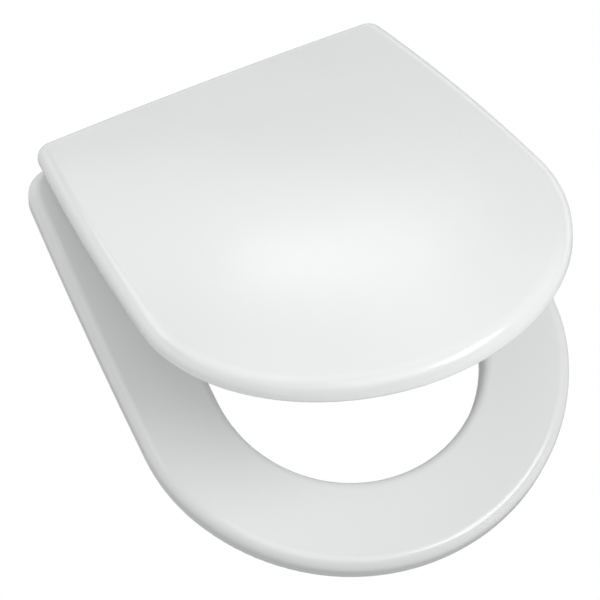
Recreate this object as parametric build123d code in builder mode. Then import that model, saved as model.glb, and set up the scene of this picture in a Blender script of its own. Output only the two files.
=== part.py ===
"""D-shaped toilet seat: a ring and a lid on two hinge posts, with the bolts that hold them to the pan.

Millimetres. The pan's top is the plane z = 0, +Z is up, the round front end points to -Y.
The origin lies on the pan's top, midway between the two fixing bolts.
The lid stands part open. Lengths named _b and _u are measured from the hinge line: b to the rear, u upwards.
"""
from math import atan2, cos, degrees, radians, sin

from build123d import *

# the pan the seat is fixed to
bolt_pitch = 155.0
pan_thickness = 25.0

# ring
ring_width = 360.0
ring_length = 428.0
ring_height = 24.0
ring_lift = 12.0
ring_nose_depth = 169.0
ring_taper = 6.5
ring_corner_r = 25.0
ring_edge_r = 10.0
ring_lip_r = 3.5
ring_wall = 6.0
ring_top_wall = 6.0

# opening of the ring
hole_half_width = 111.0
hole_front_land = 71.0
hole_rear_land = 87.0
hole_taper = 19.0
hole_rear_r = 58.0
hole_edge_r = 7.5
hole_lip_r = 3.0
hole_wall = 7.0

# lid
lid_side_inset = 11.0
lid_front_inset = 6.0
lid_rear_inset = 2.0
lid_gap = 8.5
lid_rise = 22.0
lid_crown = 4.5
lid_nose_depth = 165.0
lid_taper = 12.5
lid_corner_r = 14.0
lid_edge_r = 11.0
lid_wall = 6.0
lid_rear_wall = 7.0
lid_open = 28.0
lid_lip_r = 3.5

# hinge line
hinge_overhang = 9.0
hinge_behind_bolts = 36.0
play = 0.4

# hinge pin, bushes and barrel
pin_r = 4.0
pin_length = 62.0
running_gap = 0.04
bush_wall = 1.5
bush_length = 15.0
barrel_r = 9.0
barrel_half = 9.0

# hinge post
gasket_t = 1.5
foot_t = 5.0
foot_width = 36.0
foot_length = 39.0
foot_r = 12.0
foot_front_reach = 18.5
neck_front_b = -24.0
neck_rear_b = -14.0
neck_shoulder_u = -1.0
neck_slope_b = -13.0
arm_rear_b = -8.0
arm_drop = 5.0
foot_sink = 2.0
post_edge_r = 1.0

# ring notch and cheeks at each hinge
notch_front_b = -27.0
cheek_t = 16.0
cheek_wall = 5.0

# lid bracket
lug_t = 7.0
lug_r = 8.0
plate_t = 3.5
plate_sink = 8.0
plate_half = 24.0
plate_front_b = -34.0
plate_rear_b = -0.5
plate_corner_r = 5.0
pad_margin = 2.0

# bracket screws
screw_spread = 16.0
screw_b = -25.0
screw_r = 2.0
screw_hole_gap = 0.2
screw_head_r = 4.0
screw_head_t = 2.5
screw_bite = 5.5

# buffers
ring_buffer_r = 9.0
ring_boss_r = 11.0
ring_stem_r = 4.0
ring_stem = 9.0
lid_buffer_r = 7.0
lid_boss_r = 9.0
lid_boss_rise = 2.0
lid_stem_r = 3.0
lid_stem = 6.0
closed_gap = 0.3
socket_spare = 1.0
buffer_rear_gap = 34.0
buffer_front_angle = 45.0
buffer_edge = 1.5

# ribs under the ring
rib_t = 4.0
rib_setback = 3.0
side_rib_shares = (0.1, 0.58)
front_rib_angles = (-158.0, -112.0, -68.0, -22.0)
rear_rib_inner_gap = 20.0
rear_rib_outer_gap = 15.0
rib_reach = 90.0

# fixings
bolt_r = 4.0
thread_r = 3.6
bolt_head_r = 10.0
bolt_head_t = 5.0
square_gap = 0.2
square_end = 1.0
thread_length = 37.0
thread_tip = 1.0
gasket_inset = 0.5
gasket_hole_r = 6.5
pan_washer_r = 13.0
pan_washer_t = 4.0
pan_washer_bore_r = 4.2
bolt_washer_r = 12.0
bolt_washer_t = 1.6
nut_hub_r = 9.0
nut_hub_t = 9.0
nut_thread_gap = 0.05
wing_reach = 21.0
wing_t = 4.0
wing_rise = 15.0
wing_start = 2.0

# places that follow from the sizes
hinge_y = hinge_behind_bolts
hinge_z = ring_lift + ring_height / 2
ring_top_u = ring_height / 2
ring_under_u = -ring_height / 2
ring_rear_b = hinge_overhang
ring_front_b = ring_rear_b - ring_length
hole_front_b = ring_front_b + hole_front_land
hole_rear_b = ring_rear_b - hole_rear_land
hole_centre_b = hole_front_b + hole_half_width
hole_rear_half = hole_half_width - hole_taper
lid_width = ring_width - 2 * lid_side_inset
lid_under_u = ring_top_u + lid_gap
lid_front_b = ring_front_b + lid_front_inset
lid_rear_b = ring_rear_b - lid_rear_inset
lid_mid_b = (lid_front_b + lid_rear_b) / 2
lid_half_length = lid_rear_b - lid_mid_b
lid_crown_r = (lid_half_length**2 + lid_crown**2) / (2 * lid_crown)
crown_centre_u = lid_under_u + lid_rise - lid_crown_r
plate_face_u = lid_under_u + plate_sink
lug_start = barrel_half + play
lug_end = lug_start + lug_t
notch_half = lug_end + play
cheek_end = notch_half + cheek_t
bush_r = pin_r + running_gap + bush_wall
foot_top_z = gasket_t + foot_t
foot_top_u = foot_top_z - hinge_z
foot_mid_y = foot_length / 2 - foot_front_reach
lid_buffer_face_u = lid_under_u + lid_boss_rise
lid_buffer_t = lid_buffer_face_u - ring_top_u - closed_gap
pan_under_z = -pan_thickness
bolt_washer_z = pan_under_z - pan_washer_t
nut_z = bolt_washer_z - bolt_washer_t
hinge_sides = {"left": -bolt_pitch / 2, "right": bolt_pitch / 2}

buffer_side_x = (hole_half_width + lid_width / 2 - lid_wall) / 2
buffer_rear_b = hole_rear_b - buffer_rear_gap
buffer_front_r = hole_half_width + hole_front_land / 2
buffer_front_x = buffer_front_r * cos(radians(buffer_front_angle))
buffer_front_b = hole_centre_b - buffer_front_r * sin(radians(buffer_front_angle))
buffer_places = [
    (-buffer_side_x, buffer_rear_b),
    (buffer_side_x, buffer_rear_b),
    (-buffer_front_x, buffer_front_b),
    (buffer_front_x, buffer_front_b),
]
rear_rib_inner_x = bolt_pitch / 2 - cheek_end - rear_rib_inner_gap
rear_rib_outer_x = bolt_pitch / 2 + cheek_end + rear_rib_outer_gap
rear_rib_x = (-rear_rib_outer_x, -rear_rib_inner_x, rear_rib_inner_x, rear_rib_outer_x)

# the two frames on the hinge line: the ring lies level, the lid is turned open
open_angle = radians(lid_open)
hinge_point = (0, hinge_y, hinge_z)
ring_frame = Plane(origin=hinge_point)
lid_frame = Plane(origin=hinge_point, x_dir=(1, 0, 0), z_dir=(0, sin(open_angle), cos(open_angle)))
lid_up = Axis(hinge_point, (0, sin(open_angle), cos(open_angle)))


def d_outline(half_width, front_b, rear_b, nose_depth, taper, corner_r):
    """The D outline: a nose of three tangent arcs, sides that narrow to the rear, rounded rear corners."""
    shoulder_b = front_b + nose_depth
    shoulder_r = nose_depth**3 / half_width**2
    side = half_width - shoulder_r
    deep = nose_depth - shoulder_r
    rise = (side**2 - deep**2) / (2 * deep)
    nose_r = nose_depth + rise
    turn = degrees(atan2(abs(rise), abs(side)))
    rear_half = half_width - taper
    with BuildSketch() as outline:
        with BuildLine():
            Line((-rear_half, rear_b), (rear_half, rear_b))
            TangentArc((half_width, shoulder_b), (rear_half, rear_b), tangent=(0, 1))
            CenterArc((side, shoulder_b), shoulder_r, -turn, turn)
            CenterArc((0, shoulder_b + rise), nose_r, 180 + turn, 180 - 2 * turn)
            CenterArc((-side, shoulder_b), shoulder_r, 180, turn)
            TangentArc((-half_width, shoulder_b), (-rear_half, rear_b), tangent=(0, 1))
        make_face()
        fillet(outline.vertices().group_by(Axis.Y)[-1], corner_r)
    return outline.sketch


def hole_outline():
    """The opening: a half-round front, sides drawn in to the rear and a rounded rear end."""
    with BuildSketch() as outline:
        with BuildLine():
            Line((-hole_rear_half, hole_rear_b), (hole_rear_half, hole_rear_b))
            TangentArc((hole_half_width, hole_centre_b), (hole_rear_half, hole_rear_b), tangent=(0, 1))
            CenterArc((0, hole_centre_b), hole_half_width, 180, 180)
            TangentArc((-hole_half_width, hole_centre_b), (-hole_rear_half, hole_rear_b), tangent=(0, 1))
        make_face()
        fillet(outline.vertices().group_by(Axis.Y)[-1], hole_rear_r)
    return outline.sketch


ring_face = d_outline(ring_width / 2, ring_front_b, ring_rear_b, ring_nose_depth, ring_taper, ring_corner_r)
lid_face = d_outline(lid_width / 2, lid_front_b, lid_rear_b, lid_nose_depth, lid_taper, lid_corner_r)
hole_face = hole_outline()

# ribs across the hollow under the ring
with BuildSketch() as ribs:
    for share in side_rib_shares:
        rib_b = hole_centre_b + share * (buffer_rear_b - hole_centre_b)
        for rib_x in (-buffer_side_x, buffer_side_x):
            with Locations((rib_x, rib_b)):
                Rectangle(rib_reach, rib_t)
    for angle in front_rib_angles:
        with Locations((0, hole_centre_b)):
            with PolarLocations(hole_half_width + rib_reach / 2, 1, angle):
                Rectangle(rib_reach, rib_t)
    for rib_x in rear_rib_x:
        with Locations((rib_x, (hole_rear_b + ring_rear_b) / 2)):
            Rectangle(rib_t, rib_reach)

# hollow under the ring, with the hinge cheeks and the buffer bosses left standing
with BuildSketch() as hollow:
    add(ring_face)
    offset(amount=-ring_wall)
    with BuildSketch(mode=Mode.SUBTRACT) as hole_rim:
        add(hole_face)
        offset(amount=hole_wall)
    for hinge_x in hinge_sides.values():
        cheek_front_b = notch_front_b - cheek_wall
        with Locations((hinge_x, (cheek_front_b + ring_rear_b) / 2)):
            Rectangle(2 * cheek_end, ring_rear_b - cheek_front_b, mode=Mode.SUBTRACT)
    with Locations(*buffer_places):
        Circle(ring_boss_r, mode=Mode.SUBTRACT)

with BuildSketch() as hollow_ribbed:
    add(hollow.sketch)
    add(ribs.sketch, mode=Mode.SUBTRACT)

with BuildPart() as seat_ring:
    with BuildSketch(ring_frame.offset(ring_under_u)):
        add(ring_face)
        add(hole_face, mode=Mode.SUBTRACT)
    extrude(amount=ring_height)
    top_face = seat_ring.faces().sort_by(Axis.Z)[-1]
    fillet(top_face.outer_wire().edges(), ring_edge_r)
    top_face = seat_ring.faces().sort_by(Axis.Z)[-1]
    fillet(top_face.inner_wires()[0].edges(), hole_edge_r)
    under_face = seat_ring.faces().sort_by(Axis.Z)[0]
    fillet(under_face.outer_wire().edges(), ring_lip_r)
    under_face = seat_ring.faces().sort_by(Axis.Z)[0]
    fillet(under_face.inner_wires()[0].edges(), hole_lip_r)
    with BuildSketch(ring_frame.offset(ring_under_u)):
        add(hollow.sketch)
    extrude(amount=rib_setback, mode=Mode.SUBTRACT)
    with BuildSketch(ring_frame.offset(ring_under_u)):
        add(hollow_ribbed.sketch)
    extrude(amount=ring_height - ring_top_wall, mode=Mode.SUBTRACT)
    for hinge_x in hinge_sides.values():
        with BuildSketch(ring_frame.offset(ring_under_u)):
            with Locations((hinge_x, (notch_front_b + ring_rear_b) / 2)):
                Rectangle(2 * notch_half, ring_rear_b - notch_front_b)
        extrude(amount=ring_height, mode=Mode.SUBTRACT)
        with BuildSketch(Plane(origin=(hinge_x - cheek_end, hinge_y, hinge_z), z_dir=(1, 0, 0))):
            Circle(bush_r)
        extrude(amount=2 * cheek_end, mode=Mode.SUBTRACT)
    with BuildSketch(ring_frame.offset(ring_under_u)):
        with Locations(*buffer_places):
            Circle(ring_stem_r)
    extrude(amount=ring_stem + socket_spare, mode=Mode.SUBTRACT)
seat_ring.part.label = "seat_ring"
export_step(seat_ring.part, "parts/seat_ring.step")

with BuildPart() as ring_buffers:
    with BuildSketch(ring_frame.offset(ring_under_u - ring_lift)):
        with Locations(*buffer_places):
            Circle(ring_buffer_r)
    extrude(amount=ring_lift)
    chamfer(ring_buffers.edges().group_by(Axis.Z)[0], buffer_edge)
    with BuildSketch(ring_frame.offset(ring_under_u)):
        with Locations(*buffer_places):
            Circle(ring_stem_r)
    extrude(amount=ring_stem)
ring_buffers.part.label = "ring_buffers"
export_step(ring_buffers.part, "parts/ring_buffers.step")

with BuildPart() as hinge_bushes:
    for hinge_x in hinge_sides.values():
        for bush_x in (hinge_x - notch_half - bush_length, hinge_x + notch_half):
            with BuildSketch(Plane(origin=(bush_x, hinge_y, hinge_z), z_dir=(1, 0, 0))):
                Circle(bush_r)
                Circle(pin_r + running_gap, mode=Mode.SUBTRACT)
            extrude(amount=bush_length)
hinge_bushes.part.label = "hinge_bushes"
export_step(hinge_bushes.part, "parts/hinge_bushes.step")

# hollow under the lid, with the bracket pads and the buffer bosses left standing
with BuildPart() as lid_core:
    with BuildSketch(lid_frame.offset(lid_under_u)):
        add(lid_face)
        offset(amount=-lid_wall)
        with Locations((0, lid_rear_b)):
            Rectangle(lid_width, 2 * lid_rear_wall, mode=Mode.SUBTRACT)
    extrude(amount=lid_rise)
    with Locations(lid_frame.location * Location((0, lid_mid_b, crown_centre_u))):
        Sphere(lid_crown_r - lid_wall, rotation=(90, 0, 0), mode=Mode.INTERSECT)
    with BuildSketch(lid_frame.offset(plate_face_u)):
        for hinge_x in hinge_sides.values():
            with Locations((hinge_x, (plate_front_b + plate_rear_b) / 2)):
                RectangleRounded(
                    2 * (plate_half + pad_margin),
                    plate_rear_b - plate_front_b + 2 * pad_margin,
                    plate_corner_r + pad_margin,
                )
    extrude(amount=lid_rise, mode=Mode.SUBTRACT)
    with BuildSketch(lid_frame.offset(lid_buffer_face_u)):
        with Locations(*buffer_places):
            Circle(lid_boss_r)
    extrude(amount=lid_rise, mode=Mode.SUBTRACT)

with BuildPart() as lid:
    with BuildSketch(lid_frame.offset(lid_under_u)):
        add(lid_face)
    extrude(amount=lid_rise)
    with Locations(lid_frame.location * Location((0, lid_mid_b, crown_centre_u))):
        Sphere(lid_crown_r, rotation=(90, 0, 0), mode=Mode.INTERSECT)
    fillet(lid.faces().sort_by(lid_up)[-1].edges(), lid_edge_r)
    fillet(lid.faces().sort_by(lid_up)[0].edges(), lid_lip_r)
    add(lid_core.part, mode=Mode.SUBTRACT)
    with BuildSketch(lid_frame.offset(lid_buffer_face_u)):
        with Locations(*buffer_places):
            Circle(lid_stem_r)
    extrude(amount=lid_stem + socket_spare, mode=Mode.SUBTRACT)
    with BuildSketch(lid_frame.offset(plate_face_u)):
        for hinge_x in hinge_sides.values():
            with Locations((hinge_x - screw_spread, screw_b), (hinge_x + screw_spread, screw_b)):
                Circle(screw_r)
    extrude(amount=screw_bite + socket_spare, mode=Mode.SUBTRACT)
lid.part.label = "lid"
export_step(lid.part, "parts/lid.step")

with BuildPart() as lid_buffers:
    with BuildSketch(lid_frame.offset(lid_buffer_face_u - lid_buffer_t)):
        with Locations(*buffer_places):
            Circle(lid_buffer_r)
    extrude(amount=lid_buffer_t)
    chamfer(lid_buffers.edges().group_by(lid_up)[0], buffer_edge)
    with BuildSketch(lid_frame.offset(lid_buffer_face_u)):
        with Locations(*buffer_places):
            Circle(lid_stem_r)
    extrude(amount=lid_stem)
lid_buffers.part.label = "lid_buffers"
export_step(lid_buffers.part, "parts/lid_buffers.step")

with BuildPart() as bracket_screws:
    for hinge_x in hinge_sides.values():
        for screw_x in (hinge_x - screw_spread, hinge_x + screw_spread):
            with BuildSketch(lid_frame.offset(plate_face_u - plate_t - screw_head_t)):
                with Locations((screw_x, screw_b)):
                    Circle(screw_head_r)
            extrude(amount=screw_head_t)
            with BuildSketch(lid_frame.offset(plate_face_u - plate_t)):
                with Locations((screw_x, screw_b)):
                    Circle(screw_r)
            extrude(amount=plate_t + screw_bite)
    fillet(bracket_screws.edges().group_by(lid_up)[0], screw_head_t / 2)
bracket_screws.part.label = "bracket_screws"
export_step(bracket_screws.part, "parts/bracket_screws.step")

for side, hinge_x in hinge_sides.items():
    lug_plane = Plane(origin=(hinge_x, hinge_y, hinge_z), x_dir=lid_frame.y_dir, z_dir=(1, 0, 0))
    with BuildPart() as lid_bracket:
        with BuildSketch(lid_frame.offset(plate_face_u - plate_t)):
            with Locations((hinge_x, (plate_front_b + plate_rear_b) / 2)):
                RectangleRounded(2 * plate_half, plate_rear_b - plate_front_b, plate_corner_r)
            with Locations((hinge_x - screw_spread, screw_b), (hinge_x + screw_spread, screw_b)):
                Circle(screw_r + screw_hole_gap, mode=Mode.SUBTRACT)
        extrude(amount=plate_t)
        for lug_x in (-lug_end, lug_start):
            with BuildSketch(lug_plane.offset(lug_x)):
                Circle(lug_r)
                with Locations(((plate_rear_b - lug_r) / 2, (plate_face_u - plate_t / 2) / 2)):
                    Rectangle(plate_rear_b + lug_r, plate_face_u - plate_t / 2)
                Circle(pin_r + running_gap, mode=Mode.SUBTRACT)
            extrude(amount=lug_t)
    lid_bracket.part.label = f"lid_bracket_{side}"
    export_step(lid_bracket.part, f"parts/lid_bracket_{side}.step")

    post_plane = Plane(origin=(hinge_x, hinge_y, hinge_z), x_dir=(0, 1, 0), z_dir=(1, 0, 0))
    with BuildPart() as hinge_post:
        with BuildSketch(post_plane.offset(-barrel_half)):
            with BuildLine():
                Polyline(
                    (neck_front_b, foot_top_u - foot_sink),
                    (neck_front_b, neck_shoulder_u),
                    (neck_slope_b, barrel_r),
                    (0, barrel_r),
                    (0, -barrel_r),
                    (arm_rear_b, -barrel_r),
                    (neck_rear_b, -barrel_r - arm_drop),
                    (neck_rear_b, foot_top_u - foot_sink),
                    close=True,
                )
            make_face()
            Circle(barrel_r)
        extrude(amount=2 * barrel_half)
        with BuildSketch(Plane.XY.offset(gasket_t)):
            with Locations((hinge_x, foot_mid_y)):
                RectangleRounded(foot_width, foot_length, foot_r)
        extrude(amount=foot_t)
        foot_rim = hinge_post.edges().filter_by_position(Axis.Z, foot_top_z, foot_top_z)
        fillet(foot_rim.group_by(SortBy.LENGTH)[-1], post_edge_r)
        with BuildSketch(post_plane.offset(-barrel_half)):
            Circle(pin_r)
        extrude(amount=2 * barrel_half, mode=Mode.SUBTRACT)
        with BuildSketch(Plane.XY.offset(gasket_t)):
            with Locations((hinge_x, 0)):
                Rectangle(2 * (bolt_r + square_gap), 2 * (bolt_r + square_gap))
        extrude(amount=foot_t, mode=Mode.SUBTRACT)
    hinge_post.part.label = f"hinge_post_{side}"
    export_step(hinge_post.part, f"parts/hinge_post_{side}.step")

    with BuildPart() as hinge_pin:
        with BuildSketch(post_plane.offset(-pin_length / 2)):
            Circle(pin_r)
        extrude(amount=pin_length)
        chamfer(hinge_pin.edges(), post_edge_r / 2)
    hinge_pin.part.label = f"hinge_pin_{side}"
    export_step(hinge_pin.part, f"parts/hinge_pin_{side}.step")

    with BuildPart() as foot_gasket:
        with BuildSketch():
            with Locations((hinge_x, foot_mid_y)):
                RectangleRounded(
                    foot_width - 2 * gasket_inset, foot_length - 2 * gasket_inset, foot_r - gasket_inset
                )
            with Locations((hinge_x, 0)):
                Circle(gasket_hole_r, mode=Mode.SUBTRACT)
        extrude(amount=gasket_t)
    foot_gasket.part.label = f"foot_gasket_{side}"
    export_step(foot_gasket.part, f"parts/foot_gasket_{side}.step")

    with BuildPart() as fixing_bolt:
        with BuildSketch(Plane.XY.offset(foot_top_z)):
            with Locations((hinge_x, 0)):
                Circle(bolt_head_r)
        extrude(amount=bolt_head_t)
        fillet(fixing_bolt.edges().group_by(Axis.Z)[-1], bolt_head_t - post_edge_r)
        with BuildSketch(Plane.XY.offset(square_end)):
            with Locations((hinge_x, 0)):
                Rectangle(2 * bolt_r, 2 * bolt_r)
        extrude(amount=foot_top_z - square_end)
        with BuildSketch(Plane.XY.offset(square_end)):
            with Locations((hinge_x, 0)):
                Circle(bolt_r)
        extrude(amount=pan_under_z - square_end)
        with BuildSketch(Plane.XY.offset(pan_under_z)):
            with Locations((hinge_x, 0)):
                Circle(thread_r)
        extrude(amount=-thread_length)
        chamfer(fixing_bolt.edges().group_by(Axis.Z)[0], thread_tip)
    fixing_bolt.part.label = f"fixing_bolt_{side}"
    export_step(fixing_bolt.part, f"parts/fixing_bolt_{side}.step")

    with BuildPart() as pan_washer:
        with BuildSketch(Plane.XY.offset(bolt_washer_z)):
            with Locations((hinge_x, 0)):
                Circle(pan_washer_r)
                Circle(pan_washer_bore_r, mode=Mode.SUBTRACT)
        extrude(amount=pan_washer_t)
    pan_washer.part.label = f"pan_washer_{side}"
    export_step(pan_washer.part, f"parts/pan_washer_{side}.step")

    with BuildPart() as bolt_washer:
        with BuildSketch(Plane.XY.offset(nut_z)):
            with Locations((hinge_x, 0)):
                Circle(bolt_washer_r)
                Circle(pan_washer_bore_r, mode=Mode.SUBTRACT)
        extrude(amount=bolt_washer_t)
    bolt_washer.part.label = f"bolt_washer_{side}"
    export_step(bolt_washer.part, f"parts/bolt_washer_{side}.step")

    with BuildPart() as wing_nut:
        with BuildSketch(Plane.XY.offset(nut_z - wing_start)):
            with Locations((hinge_x, 0)):
                SlotOverall(2 * wing_reach, wing_t)
        extrude(amount=-wing_rise)
        with BuildSketch(Plane.XY.offset(nut_z)):
            with Locations((hinge_x, 0)):
                Circle(nut_hub_r)
        extrude(amount=-nut_hub_t)
        with BuildSketch(Plane.XY.offset(nut_z)):
            with Locations((hinge_x, 0)):
                Circle(thread_r + nut_thread_gap)
        extrude(amount=-wing_start - wing_rise, mode=Mode.SUBTRACT)
    wing_nut.part.label = f"wing_nut_{side}"
    export_step(wing_nut.part, f"parts/wing_nut_{side}.step")
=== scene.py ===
"""Looks of a D-shaped toilet seat: its finishes, its modelled fasteners, the studio and the camera.

Metres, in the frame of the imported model: the pan's top is z = 0 and the round front end points to -Y.
"""
import logging
from collections.abc import Callable
from dataclasses import dataclass, field
from enum import Enum
from math import cos, radians, sin, tau

import bpy
from mathutils import Matrix, Quaternion, Vector


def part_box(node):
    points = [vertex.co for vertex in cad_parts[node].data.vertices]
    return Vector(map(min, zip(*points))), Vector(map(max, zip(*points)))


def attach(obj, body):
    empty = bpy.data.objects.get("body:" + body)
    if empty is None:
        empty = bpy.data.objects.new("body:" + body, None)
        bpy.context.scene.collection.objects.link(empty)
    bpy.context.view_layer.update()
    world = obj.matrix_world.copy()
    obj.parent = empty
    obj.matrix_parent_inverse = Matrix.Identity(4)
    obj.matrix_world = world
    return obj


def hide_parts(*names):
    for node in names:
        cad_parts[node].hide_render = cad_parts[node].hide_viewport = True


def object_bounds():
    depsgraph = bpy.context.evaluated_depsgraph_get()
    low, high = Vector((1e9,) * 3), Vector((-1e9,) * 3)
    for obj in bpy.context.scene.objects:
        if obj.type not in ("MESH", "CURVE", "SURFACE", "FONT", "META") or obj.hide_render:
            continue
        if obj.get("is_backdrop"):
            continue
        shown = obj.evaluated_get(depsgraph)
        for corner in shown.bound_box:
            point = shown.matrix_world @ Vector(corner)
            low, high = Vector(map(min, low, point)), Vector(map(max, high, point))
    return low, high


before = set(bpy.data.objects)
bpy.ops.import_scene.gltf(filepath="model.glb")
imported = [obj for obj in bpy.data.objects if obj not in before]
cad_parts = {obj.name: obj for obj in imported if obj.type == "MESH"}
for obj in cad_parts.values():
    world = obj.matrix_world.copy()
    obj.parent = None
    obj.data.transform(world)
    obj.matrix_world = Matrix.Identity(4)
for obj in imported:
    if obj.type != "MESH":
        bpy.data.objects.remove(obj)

log = logging.getLogger("toilet_seat")

Colour = tuple[float, float, float]
Point = tuple[float, float, float]
Group = tuple[bpy.types.NodeTree, bpy.types.Node, bpy.types.Node]

# Half the distance between the two hinges, and between the bolts below them.
HINGE_X = 0.0775

# The part of a noise's range that is spread from the smooth to the dull value of a finish.
NOISE_LOW = 0.3
NOISE_HIGH = 0.7

# How finely the noises of the three effects are broken up.
POLISH_DETAIL = 3.0
POLISH_FINENESS = 0.55
GRAIN_DETAIL = 2.0
LINE_DETAIL = 4.0

# How much the pits add to the grain's height.
PIT_SHARE = 0.35

# How far the noise of brushed metal is squeezed along Z, which draws it out into lines.
LINE_SQUEEZE = 40.0

# Edges sharper than this many degrees are rounded by soften, in this many steps.
SHARP_ANGLE = 50.0
SOFT_STEPS = 3


class Side(Enum):
    """The two hinges, as seen from the front."""

    LEFT = "left"
    RIGHT = "right"


class Body(Enum):
    """The bodies that the modelled pieces ride on."""

    BASE = "base"
    LID = "lid"


class Effect(Enum):
    """The shared surface effects, each a shader node group."""

    POLISH = "polish_marks"
    GRAIN = "moulded_grain"
    BRUSHED = "brushed_lines"


class Joining(Enum):
    """How one shape acts on another."""

    ADD = "UNION"
    CUT = "DIFFERENCE"


def new_group(effect: Effect, inputs: tuple[str, ...], outputs: tuple[str, ...]) -> Group:
    """Start a shader node group that reads a vector and numbers, and puts out numbers.

    Args:
        effect: the effect that the group is for.
        inputs: the names of the numbers that it reads.
        outputs: the names of the numbers that it puts out.

    Returns:
        The group, its input node and its output node.
    """
    group = bpy.data.node_groups.new(effect.value, "ShaderNodeTree")
    group.interface.new_socket(name="Vector", in_out="INPUT", socket_type="NodeSocketVector")
    for way, names in (("INPUT", inputs), ("OUTPUT", outputs)):
        for name in names:
            group.interface.new_socket(name=name, in_out=way, socket_type="NodeSocketFloat")
    return group, group.nodes.new("NodeGroupInput"), group.nodes.new("NodeGroupOutput")


def spread_gloss(made: Group, noise: bpy.types.Node) -> None:
    """Turn a noise into a roughness between a group's Smooth and Dull values.

    Args:
        made: the group, its input node and its output node.
        noise: the noise node.
    """
    group, given, out = made
    spread = group.nodes.new("ShaderNodeMapRange")
    spread.inputs["From Min"].default_value = NOISE_LOW
    spread.inputs["From Max"].default_value = NOISE_HIGH
    link = group.links.new
    link(given.outputs["Scale"], noise.inputs["Scale"])
    link(noise.outputs["Fac"], spread.inputs["Value"])
    link(given.outputs["Smooth"], spread.inputs["To Min"])
    link(given.outputs["Dull"], spread.inputs["To Max"])
    link(spread.outputs["Result"], out.inputs["Roughness"])


def polish_group() -> bpy.types.NodeTree:
    """Broad, faint changes of gloss and tone, as left by moulding and wiping.

    Returns:
        The node group, with outputs Roughness and Tone.
    """
    made = new_group(Effect.POLISH, ("Scale", "Smooth", "Dull"), ("Roughness", "Tone"))
    group, given, out = made
    noise = group.nodes.new("ShaderNodeTexNoise")
    noise.inputs["Detail"].default_value = POLISH_DETAIL
    noise.inputs["Roughness"].default_value = POLISH_FINENESS
    group.links.new(given.outputs["Vector"], noise.inputs["Vector"])
    group.links.new(noise.outputs["Fac"], out.inputs["Tone"])
    spread_gloss(made, noise)
    return group


def grain_group() -> bpy.types.NodeTree:
    """Fine grain of a moulded or cast skin.

    Returns:
        The node group, with output Height.
    """
    group, given, out = new_group(Effect.GRAIN, ("Scale",), ("Height",))
    noise = group.nodes.new("ShaderNodeTexNoise")
    noise.inputs["Detail"].default_value = GRAIN_DETAIL
    pits = group.nodes.new("ShaderNodeTexVoronoi")
    blend = group.nodes.new("ShaderNodeMath")
    blend.operation = "MULTIPLY_ADD"
    blend.inputs[1].default_value = PIT_SHARE
    link = group.links.new
    for texture in (noise, pits):
        link(given.outputs["Vector"], texture.inputs["Vector"])
        link(given.outputs["Scale"], texture.inputs["Scale"])
    link(pits.outputs["Distance"], blend.inputs[0])
    link(noise.outputs["Fac"], blend.inputs[2])
    link(blend.outputs["Value"], out.inputs["Height"])
    return group


def brushed_group() -> bpy.types.NodeTree:
    """Fine lines round an upright axis or along a bar, as left by turning or drawing.

    Returns:
        The node group, with outputs Line and Roughness.
    """
    made = new_group(Effect.BRUSHED, ("Scale", "Smooth", "Dull"), ("Line", "Roughness"))
    group, given, out = made
    squeeze = group.nodes.new("ShaderNodeMapping")
    squeeze.inputs["Scale"].default_value = (1.0, 1.0, LINE_SQUEEZE)
    noise = group.nodes.new("ShaderNodeTexNoise")
    noise.inputs["Detail"].default_value = LINE_DETAIL
    group.links.new(given.outputs["Vector"], squeeze.inputs["Vector"])
    group.links.new(squeeze.outputs["Vector"], noise.inputs["Vector"])
    group.links.new(noise.outputs["Fac"], out.inputs["Line"])
    spread_gloss(made, noise)
    return group


@dataclass
class Effects:
    """The shared node groups, built once."""

    groups: dict[Effect, bpy.types.NodeTree] = field(default_factory=dict)

    def build(self) -> None:
        """Build every group."""
        self.groups[Effect.POLISH] = polish_group()
        self.groups[Effect.GRAIN] = grain_group()
        self.groups[Effect.BRUSHED] = brushed_group()

    def place(self, tree: bpy.types.NodeTree, effect: Effect, **values: float) -> bpy.types.Node:
        """Place a group in a material's tree.

        Args:
            tree: the material's node tree.
            effect: the effect wanted.
            values: values for the group's inputs.

        Returns:
            The group node, fed by Object coordinates.
        """
        node = tree.nodes.new("ShaderNodeGroup")
        node.node_tree = self.groups[effect]
        place = tree.nodes.new("ShaderNodeTexCoord")
        tree.links.new(place.outputs["Object"], node.inputs["Vector"])
        for name, value in values.items():
            node.inputs[name].default_value = value
        return node


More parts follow.
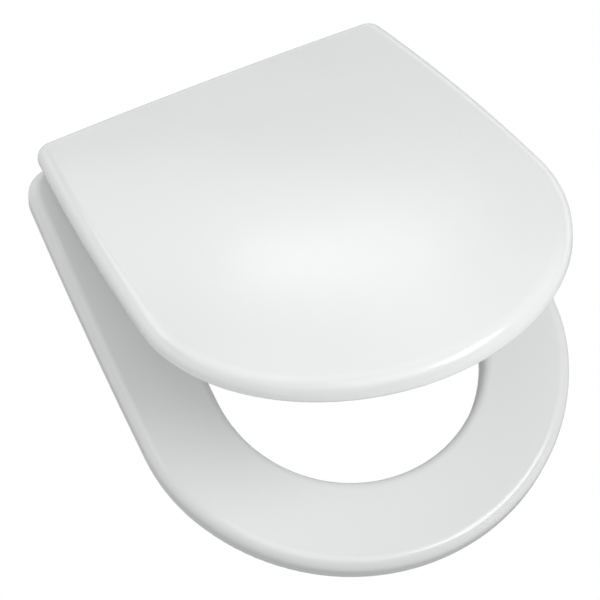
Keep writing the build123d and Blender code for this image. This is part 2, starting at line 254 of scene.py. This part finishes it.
@dataclass(frozen=True)
class Finish:
    """A finish: its colours, gloss and grain."""

    name: str
    light: Colour
    deep: Colour
    smooth: float
    dull: float
    mark_scale: float
    grain_scale: float
    grain_depth: float
    metallic: float = 0.0
    ior: float = 1.5
    gloss_effect: Effect = Effect.POLISH

    def material(self, effects: Effects) -> bpy.types.Material:
        """Make the material.

        Args:
            effects: the shared node groups.

        Returns:
            The new material.
        """
        made = bpy.data.materials.new(self.name)
        made.use_nodes = True
        tree = made.node_tree
        shader = tree.nodes["Principled BSDF"]
        shader.inputs["Metallic"].default_value = self.metallic
        shader.inputs["IOR"].default_value = self.ior
        gloss = effects.place(
            tree, self.gloss_effect, Scale=self.mark_scale, Smooth=self.smooth, Dull=self.dull
        )
        tone = tree.nodes.new("ShaderNodeMix")
        tone.data_type = "RGBA"
        tone.inputs["A"].default_value = (*self.deep, 1.0)
        tone.inputs["B"].default_value = (*self.light, 1.0)
        mask = "Tone" if self.gloss_effect is Effect.POLISH else "Line"
        grain = effects.place(tree, Effect.GRAIN, Scale=self.grain_scale)
        bump = tree.nodes.new("ShaderNodeBump")
        bump.inputs["Strength"].default_value = 1.0
        bump.inputs["Distance"].default_value = self.grain_depth
        link = tree.links.new
        link(gloss.outputs[mask], tone.inputs["Factor"])
        link(tone.outputs["Result"], shader.inputs["Base Color"])
        link(gloss.outputs["Roughness"], shader.inputs["Roughness"])
        link(grain.outputs["Height"], bump.inputs["Height"])
        link(bump.outputs["Normal"], shader.inputs["Normal"])
        return made


WHITE_GLOSS = Finish(
    "white_gloss", light=(0.855, 0.863, 0.862), deep=(0.835, 0.843, 0.842),
    smooth=0.14, dull=0.2, mark_scale=7.0, grain_scale=350.0, grain_depth=0.000004,
)
BUFFER_RUBBER = Finish(
    "buffer_rubber", light=(0.72, 0.72, 0.7), deep=(0.62, 0.62, 0.6),
    smooth=0.55, dull=0.7, mark_scale=60.0, grain_scale=2500.0, grain_depth=0.00004,
)
SEAL_RUBBER = Finish(
    "seal_rubber", light=(0.03, 0.03, 0.03), deep=(0.015, 0.015, 0.015),
    smooth=0.6, dull=0.8, mark_scale=60.0, grain_scale=2500.0, grain_depth=0.00004,
)
NATURAL_NYLON = Finish(
    "natural_nylon", light=(0.8, 0.79, 0.74), deep=(0.74, 0.73, 0.68),
    smooth=0.35, dull=0.5, mark_scale=50.0, grain_scale=2000.0, grain_depth=0.00002,
)
GREY_NYLON = Finish(
    "grey_nylon", light=(0.6, 0.61, 0.61), deep=(0.54, 0.55, 0.55),
    smooth=0.38, dull=0.52, mark_scale=50.0, grain_scale=1600.0, grain_depth=0.00004,
)
WHITE_NYLON = Finish(
    "white_nylon", light=(0.82, 0.82, 0.8), deep=(0.76, 0.76, 0.74),
    smooth=0.32, dull=0.46, mark_scale=50.0, grain_scale=2000.0, grain_depth=0.00002,
)
CHROME = Finish(
    "chrome", light=(0.8, 0.8, 0.82), deep=(0.74, 0.74, 0.76),
    smooth=0.05, dull=0.14, mark_scale=40.0, grain_scale=500.0, grain_depth=0.000005,
    metallic=1.0,
)
STEEL = Finish(
    "steel", light=(0.66, 0.66, 0.65), deep=(0.5, 0.5, 0.5),
    smooth=0.22, dull=0.38, mark_scale=40.0, grain_scale=1500.0, grain_depth=0.00001,
    metallic=1.0, gloss_effect=Effect.BRUSHED,
)


def pair(stem: str) -> list[str]:
    """The names of a left and a right node."""
    return [f"{stem}_{side.value}" for side in Side]


def nodes(*names: str) -> list[bpy.types.Object]:
    """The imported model's objects of these names."""
    return [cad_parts[name] for name in names]


def dress(pieces: list[bpy.types.Object], material: bpy.types.Material) -> None:
    """Give pieces a finish.

    Args:
        pieces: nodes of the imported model, or modelled pieces.
        material: the finish.
    """
    for piece in pieces:
        piece.data.materials.clear()
        piece.data.materials.append(material)
        log.info("dressed %s in %s", piece.name, material.name)


def deselect() -> None:
    """Select nothing, so that an operator acts only on what is made next."""
    bpy.ops.object.select_all(action="DESELECT")


def select_only(*pieces: bpy.types.Object) -> None:
    """Select pieces and nothing else, the first of them active.

    Args:
        pieces: the pieces.
    """
    deselect()
    for piece in pieces:
        piece.select_set(True)
    bpy.context.view_layer.objects.active = pieces[0]


def apply_place(piece: bpy.types.Object) -> None:
    """Put a piece's place and turn into its mesh, and leave it selected and active."""
    select_only(piece)
    bpy.ops.object.transform_apply(location=True, rotation=True, scale=True)


def everywhere(place: Vector) -> bool:
    """Choose every point."""
    return True


def pick(piece: bpy.types.Object, chosen: Callable[[Vector], bool]) -> None:
    """Go into edit mode with some of a piece's points selected.

    Args:
        piece: the active object.
        chosen: says of a point's place whether it is selected.
    """
    bpy.ops.object.mode_set(mode="EDIT")
    bpy.ops.mesh.select_mode(type="VERT")
    bpy.ops.mesh.select_all(action="DESELECT")
    bpy.ops.object.mode_set(mode="OBJECT")
    for point in piece.data.vertices:
        point.select = chosen(point.co)
    bpy.ops.object.mode_set(mode="EDIT")


def resize(
    piece: bpy.types.Object, scale: Point, chosen: Callable[[Vector], bool] = everywhere
) -> None:
    """Stretch or narrow a piece, or one end of it.

    Args:
        piece: the active object.
        scale: by how much along each axis.
        chosen: says of a point's place whether it takes part.
    """
    pick(piece, chosen)
    bpy.ops.transform.resize(value=scale)
    bpy.ops.object.mode_set(mode="OBJECT")


def round_off(
    piece: bpy.types.Object, chosen: Callable[[Vector], bool], width: float, steps: int
) -> None:
    """Round the edges between chosen points.

    Args:
        piece: the active object.
        chosen: says of a point's place whether it is chosen.
        width: how far the rounding reaches from an edge.
        steps: how many steps it has.
    """
    pick(piece, chosen)
    bpy.ops.mesh.bevel(offset=width, segments=steps, affect="EDGES")
    bpy.ops.object.mode_set(mode="OBJECT")


def soften(piece: bpy.types.Object, width: float) -> None:
    """Round all the sharp edges of a piece.

    Args:
        piece: the active object.
        width: how far the rounding reaches from an edge.
    """
    rounded = piece.modifiers.new("rounded", "BEVEL")
    rounded.width = width
    rounded.segments = SOFT_STEPS
    rounded.limit_method = "ANGLE"
    rounded.angle_limit = radians(SHARP_ANGLE)
    bpy.ops.object.modifier_apply(modifier="rounded")


def combine(piece: bpy.types.Object, other: bpy.types.Object, joining: Joining) -> None:
    """Add another shape to a piece or cut it out, and remove that shape.

    Args:
        piece: the piece that stays.
        other: the shape that is used up.
        joining: whether the shape is added or cut out.
    """
    select_only(piece)
    change = piece.modifiers.new("change", "BOOLEAN")
    change.operation = joining.value
    change.object = other
    bpy.ops.object.modifier_apply(modifier="change")
    bpy.data.objects.remove(other, do_unlink=True)


def settle(piece: bpy.types.Object, angle: float) -> None:
    """Put a finished piece's place into its mesh, turn its faces outwards and smooth it.

    Args:
        piece: the piece.
        angle: edges sharper than this many degrees stay sharp.
    """
    apply_place(piece)
    bpy.ops.object.mode_set(mode="EDIT")
    bpy.ops.mesh.select_all(action="SELECT")
    bpy.ops.mesh.normals_make_consistent(inside=False)
    bpy.ops.object.mode_set(mode="OBJECT")
    bpy.ops.object.shade_smooth_by_angle(angle=radians(angle))


def copied(piece: bpy.types.Object, name: str, move: Point) -> bpy.types.Object:
    """Copy a piece, with a mesh of its own.

    Args:
        piece: the piece.
        name: the copy's name.
        move: how far the copy lies from the piece.

    Returns:
        The copy, with its place in its mesh.
    """
    twin = piece.copy()
    twin.data = piece.data.copy()
    twin.name = name
    bpy.context.scene.collection.objects.link(twin)
    twin.location = move
    apply_place(twin)
    return twin


@dataclass
class BoltThread:
    """The thread of a fixing bolt: one ridge that winds round its core."""

    bolt_x: float
    core_r: float = 0.0035
    crest_r: float = 0.00398
    pitch: float = 0.00125
    crest_share: float = 0.2
    foot_share: float = 0.92
    top_z: float = -0.0256
    turns: int = 28
    steps: int = 28
    smooth_angle: float = 25.0

    def build(self, name: str) -> bpy.types.Object:
        """Wind the ridge.

        Args:
            name: the piece's name.

        Returns:
            The piece, with its place in its mesh.
        """
        deselect()
        bpy.ops.mesh.primitive_plane_add(size=1.0, location=(self.bolt_x, 0.0, self.top_z))
        ridge = bpy.context.active_object
        ridge.name = name
        resize(ridge, (self.crest_r - self.core_r, self.foot_share * self.pitch, 1.0))
        resize(ridge, (1.0, self.crest_share, 1.0), lambda place: place.x > 0.0)
        pick(ridge, everywhere)
        bpy.ops.transform.rotate(value=-tau / 4, orient_axis="X", center_override=ridge.location)
        bpy.ops.transform.translate(value=((self.crest_r + self.core_r) / 2, 0.0, 0.0))
        bpy.ops.object.mode_set(mode="OBJECT")
        wind = ridge.modifiers.new("wind", "SCREW")
        wind.axis = "Z"
        wind.angle = -tau
        wind.screw_offset = -self.pitch
        wind.iterations = self.turns
        wind.steps = self.steps
        wind.render_steps = self.steps
        bpy.ops.object.modifier_apply(modifier="wind")
        pick(ridge, everywhere)
        bpy.ops.mesh.fill_holes(sides=4)
        bpy.ops.object.mode_set(mode="OBJECT")
        settle(ridge, self.smooth_angle)
        return ridge


@dataclass
class WingNut:
    """A moulded wing nut: a round hub and two wings that thin towards their rounded tips."""

    node: str
    hub_t: float = 0.009
    hub_round: float = 0.0008
    hub_sides: int = 64
    bore_r: float = 0.00405
    bore_cut: float = 0.05
    bore_sides: int = 48
    wing_t: float = 0.004
    wing_start: float = 0.002
    wing_root: float = 0.0055
    tip_thin: float = 0.7
    tip_round: float = 0.0058
    shoulder_round: float = 0.0035
    root_round: float = 0.0065
    round_steps: int = 8
    edge_round: float = 0.0007
    smooth_angle: float = 35.0

    def build(self, name: str) -> bpy.types.Object:
        """Make the nut, as large as the node that it stands for.

        Args:
            name: the piece's name.

        Returns:
            The piece, with its place in its mesh.
        """
        low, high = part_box(self.node)
        size = high - low
        deselect()
        bpy.ops.mesh.primitive_cylinder_add(
            vertices=self.hub_sides, radius=size.y / 2, depth=self.hub_t,
            location=(0.0, 0.0, -self.hub_t / 2),
        )
        nut = bpy.context.active_object
        nut.name = name
        soften(nut, self.hub_round)
        for turn in (0.0, tau / 2):
            combine(nut, self.build_wing(size.x / 2, size.z, turn), Joining.ADD)
        deselect()
        bpy.ops.mesh.primitive_cylinder_add(
            vertices=self.bore_sides, radius=self.bore_r, depth=self.bore_cut
        )
        combine(nut, bpy.context.active_object, Joining.CUT)
        apply_place(nut)
        nut.location = ((low.x + high.x) / 2, (low.y + high.y) / 2, high.z)
        settle(nut, self.smooth_angle)
        return nut

    def build_wing(self, reach: float, height: float, turn: float) -> bpy.types.Object:
        """Make one wing.

        Args:
            reach: how far its tip is from the nut's axis.
            height: how far its foot is below the nut's top.
            turn: how far it is turned about the nut's axis, in radians.

        Returns:
            The wing, its root inside the hub.
        """
        deselect()
        bpy.ops.mesh.primitive_cube_add(size=1.0)
        wing = bpy.context.active_object
        resize(wing, (reach - self.wing_root, self.wing_t, height - self.wing_start))
        resize(wing, (1.0, self.tip_thin, 1.0), lambda place: place.x > 0.0)
        for corner, width in (
            (lambda place: place.x > 0.0 and place.z < 0.0, self.tip_round),
            (lambda place: place.x > 0.0 and place.z > 0.0, self.shoulder_round),
            (lambda place: place.x < 0.0 and place.z < 0.0, self.root_round),
        ):
            round_off(wing, corner, width, self.round_steps)
        soften(wing, self.edge_round)
        wing.location = ((reach + self.wing_root) / 2, 0.0, -(height + self.wing_start) / 2)
        apply_place(wing)
        wing.rotation_euler = (0.0, 0.0, turn)
        return wing


@dataclass
class BracketScrews:
    """The pan-head screws that hold the brackets under the lid, with cross recesses.

    Their places are measured from the hinge line, with the lid closed.
    """

    head_r: float = 0.004
    head_t: float = 0.0025
    head_round: float = 0.0013
    head_sides: int = 48
    round_steps: int = 6
    shank_r: float = 0.002
    shank: float = 0.0088
    shank_sides: int = 32
    tip_share: float = 0.3
    slot_length: float = 0.0046
    slot_width: float = 0.0011
    slot_depth: float = 0.0013
    slot_taper: tuple[float, float] = (0.5, 0.7)
    hinge_x: float = HINGE_X
    spread: float = 0.016
    screw_y: float = -0.025
    plate_z: float = 0.025
    hinge: Point = (0.0, 0.036, 0.024)
    lid_open: float = 28.0
    smooth_angle: float = 35.0

    def build(self, name: str) -> bpy.types.Object:
        """Make one screw, copy it to its four places and join them.

        Args:
            name: the piece's name.

        Returns:
            The piece, with its place in its mesh.
        """
        first = self.build_one()
        first.name = name
        screws = [first]
        for x in (-self.hinge_x + self.spread, self.hinge_x - self.spread, self.hinge_x + self.spread):
            screws.append(copied(first, name, (x, self.screw_y, self.plate_z)))
        first.location = (-self.hinge_x - self.spread, self.screw_y, self.plate_z)
        apply_place(first)
        select_only(*screws)
        bpy.ops.object.join()
        first.rotation_euler = (radians(-self.lid_open), 0.0, 0.0)
        first.location = self.hinge
        settle(first, self.smooth_angle)
        return first

    def build_one(self) -> bpy.types.Object:
        """Make a screw at the origin, its head below the plane z = 0.

        Returns:
            The screw.
        """
        deselect()
        bpy.ops.mesh.primitive_cylinder_add(
            vertices=self.head_sides, radius=self.head_r, depth=self.head_t,
            location=(0.0, 0.0, -self.head_t / 2),
        )
        screw = bpy.context.active_object
        round_off(screw, lambda place: place.z < 0.0, self.head_round, self.round_steps)
        for turn in (0.0, tau / 4):
            self.cut_slot(screw, turn)
        deselect()
        bpy.ops.mesh.primitive_cylinder_add(
            vertices=self.shank_sides, radius=self.shank_r, depth=self.shank,
            location=(0.0, 0.0, self.shank / 2),
        )
        shank = bpy.context.active_object
        resize(shank, (self.tip_share, self.tip_share, 1.0), lambda place: place.z > 0.0)
        select_only(screw, shank)
        bpy.ops.object.join()
        apply_place(screw)
        return screw

    def cut_slot(self, screw: bpy.types.Object, turn: float) -> None:
        """Cut one arm of the cross recess.

        Args:
            screw: the screw.
            turn: how far the arm is turned about the screw's axis, in radians.
        """
        deselect()
        bpy.ops.mesh.primitive_cube_add(size=1.0, location=(0.0, 0.0, -self.head_t))
        cutter = bpy.context.active_object
        resize(cutter, (self.slot_length, self.slot_width, 2 * self.slot_depth))
        resize(cutter, (*self.slot_taper, 1.0), lambda place: place.z > 0.0)
        cutter.rotation_euler = (0.0, 0.0, turn)
        combine(screw, cutter, Joining.CUT)


@dataclass
class RingAssembly:
    """The ring with its feet and hinge bushes."""

    shell: Finish = WHITE_GLOSS
    feet: Finish = BUFFER_RUBBER
    bushes: Finish = NATURAL_NYLON

    def dress(self, effects: Effects) -> None:
        """Give the ring's pieces their finishes.

        Args:
            effects: the shared node groups.
        """
        dress(nodes("seat_ring"), self.shell.material(effects))
        dress(nodes("ring_buffers"), self.feet.material(effects))
        dress(nodes("hinge_bushes"), self.bushes.material(effects))


@dataclass
class LidAssembly:
    """The lid with its buffers, hinge brackets and screws."""

    body: Body = Body.LID
    shell: Finish = WHITE_GLOSS
    buffers: Finish = BUFFER_RUBBER
    brackets: Finish = GREY_NYLON
    metal: Finish = STEEL
    screws: list[bpy.types.Object] = field(default_factory=list)

    def build(self) -> None:
        """Model the bracket screws."""
        piece = BracketScrews().build("cross_head_screws")
        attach(piece, self.body.value)
        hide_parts("bracket_screws")
        self.screws.append(piece)
        log.info("built %s", piece.name)

    def dress(self, effects: Effects) -> None:
        """Give the lid's pieces their finishes.

        Args:
            effects: the shared node groups.
        """
        dress(nodes("lid"), self.shell.material(effects))
        dress(nodes("lid_buffers"), self.buffers.material(effects))
        dress(nodes(*pair("lid_bracket")), self.brackets.material(effects))
        dress(self.screws, self.metal.material(effects))


@dataclass
class HingeAssembly:
    """The posts, pins, gaskets and pan fixings."""

    body: Body = Body.BASE
    bolt_x: float = HINGE_X
    plating: Finish = CHROME
    metal: Finish = STEEL
    seal: Finish = SEAL_RUBBER
    nylon: Finish = WHITE_NYLON
    threads: list[bpy.types.Object] = field(default_factory=list)
    nuts: list[bpy.types.Object] = field(default_factory=list)

    def build(self) -> None:
        """Model the bolts' threads and the wing nuts, the right ones as copies of the left."""
        across = (2 * self.bolt_x, 0.0, 0.0)
        left, right = pair("bolt_thread")
        thread = BoltThread(-self.bolt_x).build(left)
        self.threads += [thread, copied(thread, right, across)]
        left, right = pair("winged_nut")
        nut = WingNut("wing_nut_left").build(left)
        self.nuts += [nut, copied(nut, right, across)]
        for piece, node in zip(self.nuts, pair("wing_nut")):
            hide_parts(node)
        for piece in self.threads + self.nuts:
            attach(piece, self.body.value)
            log.info("built %s", piece.name)

    def dress(self, effects: Effects) -> None:
        """Give the hinges and fixings their finishes.

        Args:
            effects: the shared node groups.
        """
        dress(nodes(*pair("hinge_post")), self.plating.material(effects))
        steel = self.metal.material(effects)
        for stem in ("hinge_pin", "fixing_bolt", "bolt_washer"):
            dress(nodes(*pair(stem)), steel)
        dress(self.threads, steel)
        rubber = self.seal.material(effects)
        for stem in ("foot_gasket", "pan_washer"):
            dress(nodes(*pair(stem)), rubber)
        dress(self.nuts, self.nylon.material(effects))


def outward(azimuth: float, elevation: float) -> Vector:
    """The direction from the object to a place around it.

    Args:
        azimuth: degrees to the right of the front.
        elevation: degrees above level.

    Returns:
        A unit vector.
    """
    a = radians(azimuth)
    e = radians(elevation)
    return Vector((sin(a) * cos(e), -cos(a) * cos(e), sin(e)))


@dataclass(frozen=True)
class SoftLight:
    """A soft box that points at the seat."""

    name: str
    azimuth: float
    elevation: float
    distance: float
    width: float
    height: float
    watts: float
    tilt: float = 0.0

    def build(self, centre: Vector) -> None:
        """Hang the light.

        Args:
            centre: the point that it faces.
        """
        lamp = bpy.data.lights.new(self.name, "AREA")
        lamp.energy = self.watts
        lamp.shape = "RECTANGLE"
        lamp.size = self.width
        lamp.size_y = self.height
        way = outward(self.azimuth, self.elevation)
        hung = bpy.data.objects.new(self.name, lamp)
        hung.location = centre + way * self.distance
        facing = way.to_track_quat("Z", "Y") @ Quaternion((0.0, 0.0, 1.0), radians(self.tilt))
        hung.rotation_euler = facing.to_euler()
        bpy.context.scene.collection.objects.link(hung)


@dataclass
class Studio:
    """A pale floor, soft boxes and an even surround.

    The floor lies low enough for the lid to clear it at every pose.
    """

    floor_half: float = 12.0
    floor_middle: Point = (0.0, -0.16, -0.125)
    # Strengths of the floor's glow under the seat and far from it: the dim middle is painted shade.
    floor_shade: float = 0.26
    floor_light: float = 1.48
    shade_reach: float = 2.2
    surround: float = 0.02
    # Each light's name, azimuth, elevation, distance, width, height and watts.
    lights: tuple[SoftLight, ...] = (
        SoftLight("strip", 50.0, 57.0, 2.4, 1.4, 0.9, 24.0),
        SoftLight("glow", 163.5, 16.5, 2.3, 0.45, 0.14, 0.58, tilt=-15.0),
        SoftLight("glow_wide", 167.0, 13.0, 2.3, 1.0, 0.4, 1.48, tilt=-28.0),
        SoftLight("top", 0.0, 89.0, 2.4, 2.4, 2.4, 3.1),
        SoftLight("top_front", -20.0, 68.0, 1.4, 1.0, 1.0, 4.6),
        SoftLight("back", 180.0, 45.0, 2.6, 2.0, 2.0, 7.0),
        SoftLight("back_left", -135.0, 40.0, 2.6, 2.0, 2.0, 14.8),
        SoftLight("back_right", 135.0, 40.0, 2.6, 2.0, 2.0, 3.5),
        SoftLight("back_low", -155.0, 14.0, 2.6, 2.0, 0.6, 7.4),
        SoftLight("left", -90.0, 35.0, 2.6, 2.0, 2.0, 7.4),
        SoftLight("left_low", -90.0, 10.0, 2.6, 2.0, 0.6, 1.6),
        SoftLight("right", 90.0, 35.0, 2.6, 2.0, 2.0, 8.9),
        SoftLight("front_left", -45.0, 30.0, 2.6, 2.0, 2.0, 3.0),
        SoftLight("front_right", 40.0, 16.0, 2.6, 2.0, 0.6, 4.3),
    )

    def build(self, centre: Vector) -> None:
        """Set up the studio.

        Args:
            centre: the middle of the seat.
        """
        for light in self.lights:
            light.build(centre)
        self.build_floor()
        self.build_surround()
        bpy.context.scene.view_settings.view_transform = "Standard"

    def build_floor(self) -> None:
        """Lay the floor.

        It is clean white to the camera and clear from below. To all other rays it glows, and the glow
        is
        dimmer close under the seat: painted shade that stands in for the seat's shadow on the floor.
        """
        deselect()
        bpy.ops.mesh.primitive_plane_add(
            size=2 * self.floor_half, location=(0.0, 0.0, self.floor_middle[2])
        )
        floor = bpy.context.active_object
        floor.name = "floor"
        made = bpy.data.materials.new("pale_floor")
        made.use_nodes = True
        tree = made.node_tree
        tree.nodes.remove(tree.nodes["Principled BSDF"])
        place = tree.nodes.new("ShaderNodeNewGeometry")
        away = tree.nodes.new("ShaderNodeVectorMath")
        away.operation = "DISTANCE"
        away.inputs[1].default_value = self.floor_middle
        # Painted shade: the glow rises from floor_shade at the middle to floor_light at shade_reach
        # away.
        fade = tree.nodes.new("ShaderNodeMapRange")
        fade.inputs["From Max"].default_value = self.shade_reach
        fade.inputs["To Min"].default_value = self.floor_shade
        fade.inputs["To Max"].default_value = self.floor_light
        back = tree.nodes.new("ShaderNodeEmission")
        seen = tree.nodes.new("ShaderNodeEmission")
        path = tree.nodes.new("ShaderNodeLightPath")
        mix = tree.nodes.new("ShaderNodeMixShader")
        clear = tree.nodes.new("ShaderNodeBsdfTransparent")
        below = tree.nodes.new("ShaderNodeMixShader")
        link = tree.links.new
        link(place.outputs["Position"], away.inputs[0])
        link(away.outputs["Value"], fade.inputs["Value"])
        link(fade.outputs["Result"], back.inputs["Strength"])
        link(path.outputs["Is Camera Ray"], mix.inputs["Fac"])
        link(back.outputs["Emission"], mix.inputs[1])
        link(seen.outputs["Emission"], mix.inputs[2])
        link(place.outputs["Backfacing"], below.inputs["Fac"])
        link(mix.outputs["Shader"], below.inputs[1])
        link(clear.outputs["BSDF"], below.inputs[2])
        link(below.outputs["Shader"], tree.nodes["Material Output"].inputs["Surface"])
        floor.data.materials.append(made)
        floor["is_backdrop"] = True

    def build_surround(self) -> None:
        """Light the seat evenly from all round, and show the camera plain white."""
        world = bpy.data.worlds.new("surround")
        world.use_nodes = True
        bpy.context.scene.world = world
        tree = world.node_tree
        even = tree.nodes["Background"]
        even.inputs["Strength"].default_value = self.surround
        plain = tree.nodes.new("ShaderNodeBackground")
        for shader in (even, plain):
            shader.inputs["Color"].default_value = (1.0, 1.0, 1.0, 1.0)
        path = tree.nodes.new("ShaderNodeLightPath")
        mix = tree.nodes.new("ShaderNodeMixShader")
        link = tree.links.new
        link(path.outputs["Is Camera Ray"], mix.inputs["Fac"])
        link(even.outputs["Background"], mix.inputs[1])
        link(plain.outputs["Background"], mix.inputs[2])
        link(mix.outputs["Shader"], tree.nodes["World Output"].inputs["Surface"])


@dataclass(frozen=True)
class PhotoCamera:
    """The camera of the photograph: where it stands, how it is turned and its lens."""

    azimuth: float = -38.236
    elevation: float = 64.466
    roll: float = 12.997
    distance: float = 1.7345
    target: Point = (-0.006637, -0.138578, 0.012)
    focal_px: float = 2130.0
    image_px: float = 600.0
    sensor_mm: float = 36.0
    shift_px: tuple[float, float] = (0.0, -0.7)
    far_limit: float = 100.0

    def build(self) -> None:
        """Put up the camera and make it the scene's."""
        back = outward(self.azimuth, self.elevation)
        right = Vector((0.0, 0.0, 1.0)).cross(back).normalized()
        up = back.cross(right)
        turn = radians(self.roll)
        across = right * cos(turn) + up * sin(turn)
        upward = up * cos(turn) - right * sin(turn)
        lens = bpy.data.cameras.new("photo_camera")
        lens.sensor_width = self.sensor_mm
        lens.lens = self.focal_px * self.sensor_mm / self.image_px
        lens.shift_x = self.shift_px[0] / self.image_px
        lens.shift_y = self.shift_px[1] / self.image_px
        lens.clip_end = self.far_limit
        camera = bpy.data.objects.new("photo_camera", lens)
        turned = Matrix((across, upward, back)).transposed().to_4x4()
        camera.matrix_world = Matrix.Translation(Vector(self.target) + back * self.distance) @ turned
        bpy.context.scene.collection.objects.link(camera)
        bpy.context.scene.camera = camera


def plain_box(box: tuple[Vector, Vector]) -> list[list[float]]:
    """A box as plain lists of numbers."""
    return [[float(value) for value in corner] for corner in box]


def main() -> None:
    """Build and dress the seat's pieces, and set up the studio round the middle of the model's box, and
    the camera.
    """
    cad_box = plain_box(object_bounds())
    effects = Effects()
    effects.build()
    lid, hinges = LidAssembly(), HingeAssembly()
    lid.build()
    hinges.build()
    for assembly in (RingAssembly(), lid, hinges):
        assembly.dress(effects)
    centre = (Vector(cad_box[0]) + Vector(cad_box[1])) / 2
    Studio().build(centre)
    PhotoCamera().build()


if __name__ == "__main__":
    logging.basicConfig(level=logging.INFO)
    main()
